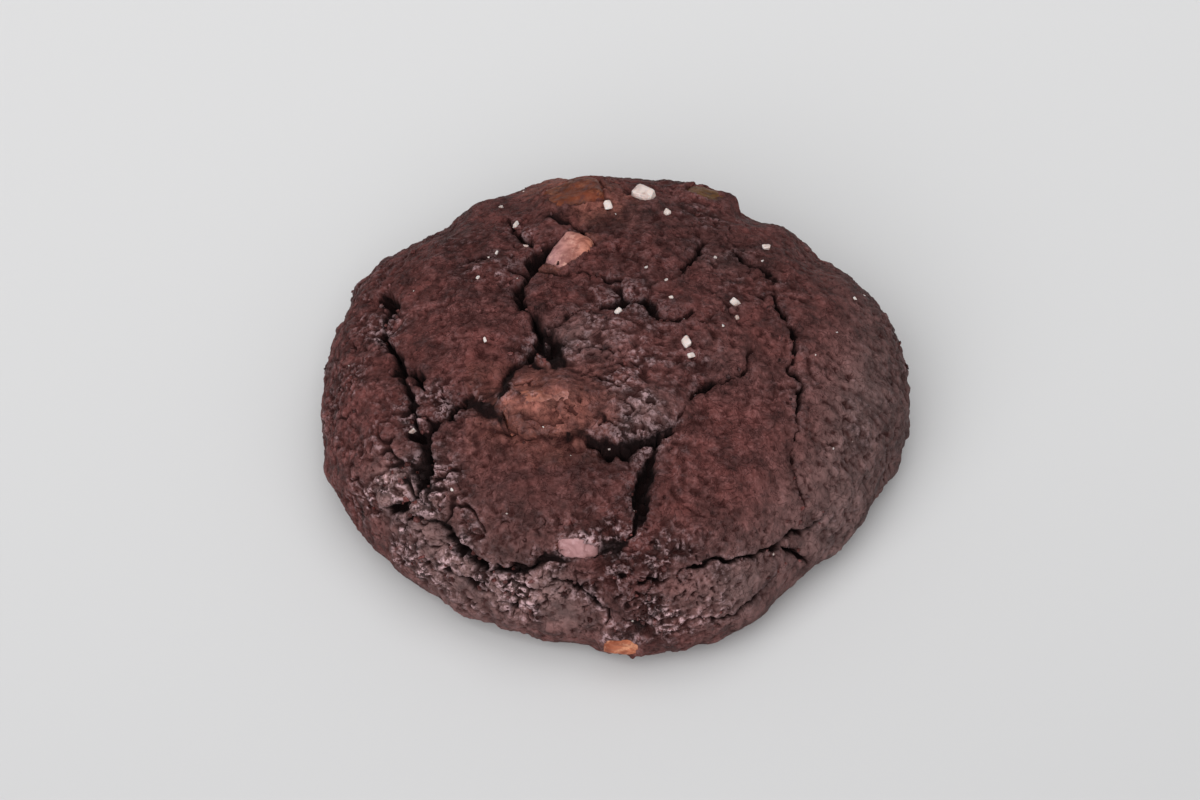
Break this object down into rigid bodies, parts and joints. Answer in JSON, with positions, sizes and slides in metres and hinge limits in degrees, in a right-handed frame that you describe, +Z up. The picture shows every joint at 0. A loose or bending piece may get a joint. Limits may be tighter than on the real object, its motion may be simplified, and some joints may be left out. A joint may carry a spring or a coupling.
{
  "type": "salted brownie cookie",
  "caption": "Thick round brownie cookie with a cracked, craggy top, milk chocolate chunks and flakes of coarse salt.",
  "frame": {"origin": "on the surface that it rests on, under the middle of the cookie's footprint", "axes": "+Z up out of the cracked top; -Y towards the side that faces the viewer in the picture, where the crust is craggiest; +X to the viewer's right"},
  "size_m": [0.081, 0.0792, 0.0287],
  "materials": {
    "brownie": "matt baked cocoa dough, fine crumb, darker in the cracks",
    "milk_chocolate": "satin milk chocolate, partly under a thin skin of dough",
    "salt": "cloudy white crystal"
  },
  "bodies": {
    "root": {"cookie": "brownie", "chunk_back": "milk_chocolate", "chunk_right": "milk_chocolate", "chunk_crack": "milk_chocolate", "chunk_middle": "milk_chocolate", "chunk_front": "milk_chocolate", "chunk_rim": "milk_chocolate"}
  },
  "joints": []
}
